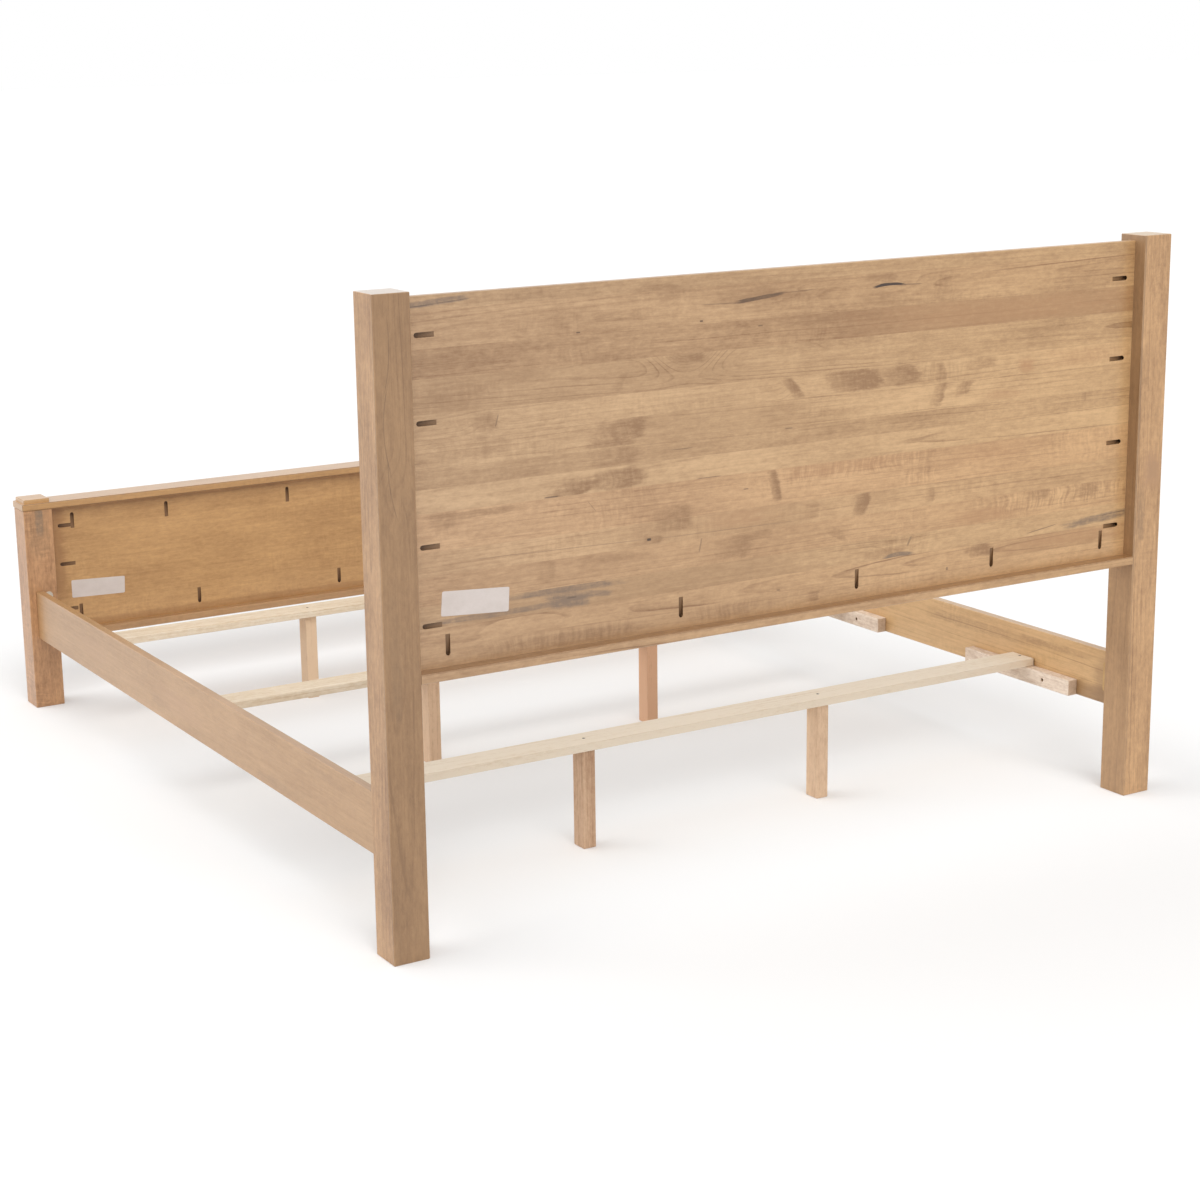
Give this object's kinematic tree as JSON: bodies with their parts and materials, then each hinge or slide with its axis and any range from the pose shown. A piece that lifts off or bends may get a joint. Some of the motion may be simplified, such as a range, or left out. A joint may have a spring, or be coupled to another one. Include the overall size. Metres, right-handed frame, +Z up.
{
  "type": "panel bed frame",
  "caption": "Wooden panel bed frame with a tall board headboard, low panelled footboard, side rails, flat slats on legs and hooked rail fittings.",
  "frame": {"origin": "on the floor, under the middle of the bed", "axes": "X across the bed, +X on the right of someone at the foot; +Y along the bed towards the headboard; +Z up"},
  "size_m": [2.037, 2.2945, 1.336],
  "materials": {
    "post_wood": "satin stained maple",
    "head_panel_wood": "satin stained maple, edge-glued boards",
    "foot_panel_wood": "satin maple-faced plywood",
    "rail_wood": "satin stained maple",
    "slat_wood": "raw sanded softwood",
    "leg_wood": "raw sanded hardwood",
    "dowel_wood": "plain beech",
    "plated_steel": "zinc plated",
    "dark_screw": "black phosphate"
  },
  "bodies": {
    "root": {"bracket_screws": "dark_screw", "cleat_screws": "dark_screw", "foot_cap_rail": "post_wood", "foot_dowels": "dowel_wood", "foot_ledge_rail": "post_wood", "foot_pad_left": "post_wood", "foot_pad_right": "post_wood", "foot_panel": "foot_panel_wood", "foot_pocket_screws": "dark_screw", "foot_post_left": "post_wood", "foot_post_right": "post_wood", "head_ledge_dowels": "dowel_wood", "head_ledge_rail": "post_wood", "head_panel_board_01": "head_panel_wood", "head_panel_board_02": "head_panel_wood", "head_panel_board_03": "head_panel_wood", "head_panel_board_04": "head_panel_wood", "head_panel_board_05": "head_panel_wood", "head_panel_board_06": "head_panel_wood", "head_panel_board_07": "head_panel_wood", "head_panel_board_08": "head_panel_wood", "head_panel_board_09": "head_panel_wood", "head_panel_board_10": "head_panel_wood", "head_panel_board_11": "head_panel_wood", "head_panel_board_12": "head_panel_wood", "head_panel_board_13": "head_panel_wood", "head_panel_board_14": "head_panel_wood", "head_pocket_screws": "dark_screw", "head_post_left": "post_wood", "head_post_right": "post_wood", "leg_screws": "dark_screw", "post_plate_foot_left": "plated_steel", "post_plate_foot_right": "plated_steel", "post_plate_head_left": "plated_steel", "post_plate_head_right": "plated_steel", "rail_bracket_foot_left": "plated_steel", "rail_bracket_foot_right": "plated_steel", "rail_bracket_head_left": "plated_steel", "rail_bracket_head_right": "plated_steel", "side_rail_left": "rail_wood", "side_rail_right": "rail_wood", "slat_cleat_foot_left": "slat_wood", "slat_cleat_foot_right": "slat_wood", "slat_cleat_head_left": "slat_wood", "slat_cleat_head_right": "slat_wood", "slat_cleat_middle_left": "slat_wood", "slat_cleat_middle_right": "slat_wood", "slat_foot": "slat_wood", "slat_head": "slat_wood", "slat_leg_foot_left": "leg_wood", "slat_leg_foot_right": "leg_wood", "slat_leg_head_left": "leg_wood", "slat_leg_head_right": "leg_wood", "slat_leg_middle_left": "leg_wood", "slat_leg_middle_right": "leg_wood", "slat_middle": "slat_wood", "slat_screws": "dark_screw"}
  },
  "joints": []
}
